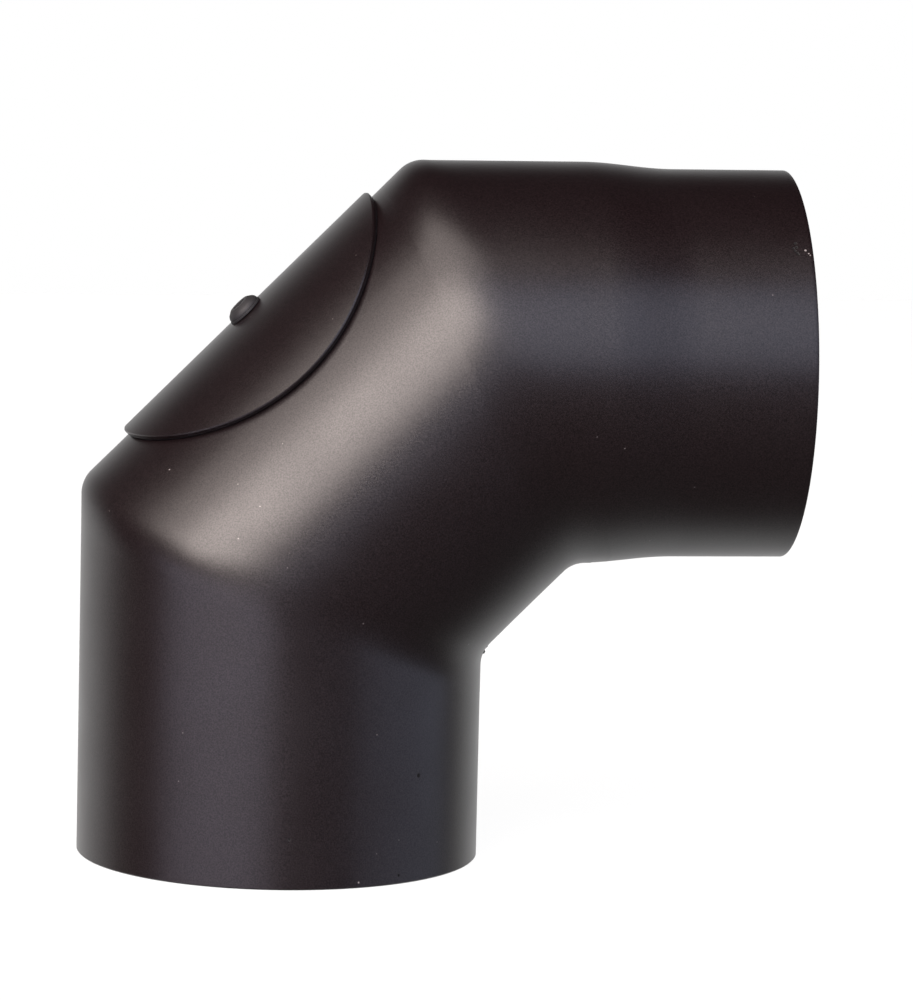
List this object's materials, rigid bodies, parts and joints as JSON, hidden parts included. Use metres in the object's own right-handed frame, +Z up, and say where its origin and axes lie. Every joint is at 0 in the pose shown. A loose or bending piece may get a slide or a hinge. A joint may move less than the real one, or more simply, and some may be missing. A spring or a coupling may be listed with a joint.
{
  "type": "stove pipe elbow with door",
  "caption": "Right-angle stove pipe elbow of mitred segments, with a plain socket, a swaged spigot and a rolled oval cleaning door held by a screw and an inner clamp bar.",
  "frame": {"origin": "centre of the bottom rim, on the axis of the lower leg", "axes": "+Z up the axis of the lower leg, +X along the upper leg towards the spigot, the door on the -X +Z side of the bend"},
  "size_m": [0.269, 0.154, 0.267],
  "materials": {
    "flue_paint": "satin matt heat-resistant paint, warm black",
    "gasket": "matt black fibre sheet",
    "black_steel": "blackened steel, satin",
    "bare_steel": "plain rolled steel, satin"
  },
  "bodies": {
    "elbow": {"lower_segment": "flue_paint", "middle_segment": "flue_paint", "upper_segment": "flue_paint"},
    "door": {"door_plate": "flue_paint", "door_gasket": "gasket", "screw_washer": "black_steel"},
    "clamp": {"clamp_bar": "bare_steel", "clamp_nut": "bare_steel"},
    "screw": {"door_screw": "black_steel"}
  },
  "joints": [
    {"name": "door_lift", "type": "slide", "parent": "elbow", "child": "door", "axis": [-0.7071, 0, 0.7071], "range_m": [0, 0.1]},
    {"name": "clamp_turn", "type": "hinge", "parent": "door", "child": "clamp", "pos_m": [0.04106, 0, 0.15206], "axis": [-0.7071, 0, 0.7071], "range_deg": [-90, 0]},
    {"name": "screw_turn", "type": "hinge", "parent": "clamp", "child": "screw", "pos_m": [0.04106, 0, 0.15206], "axis": [-0.7071, 0, 0.7071], "range_deg": [-430, 2880]}
  ]
}
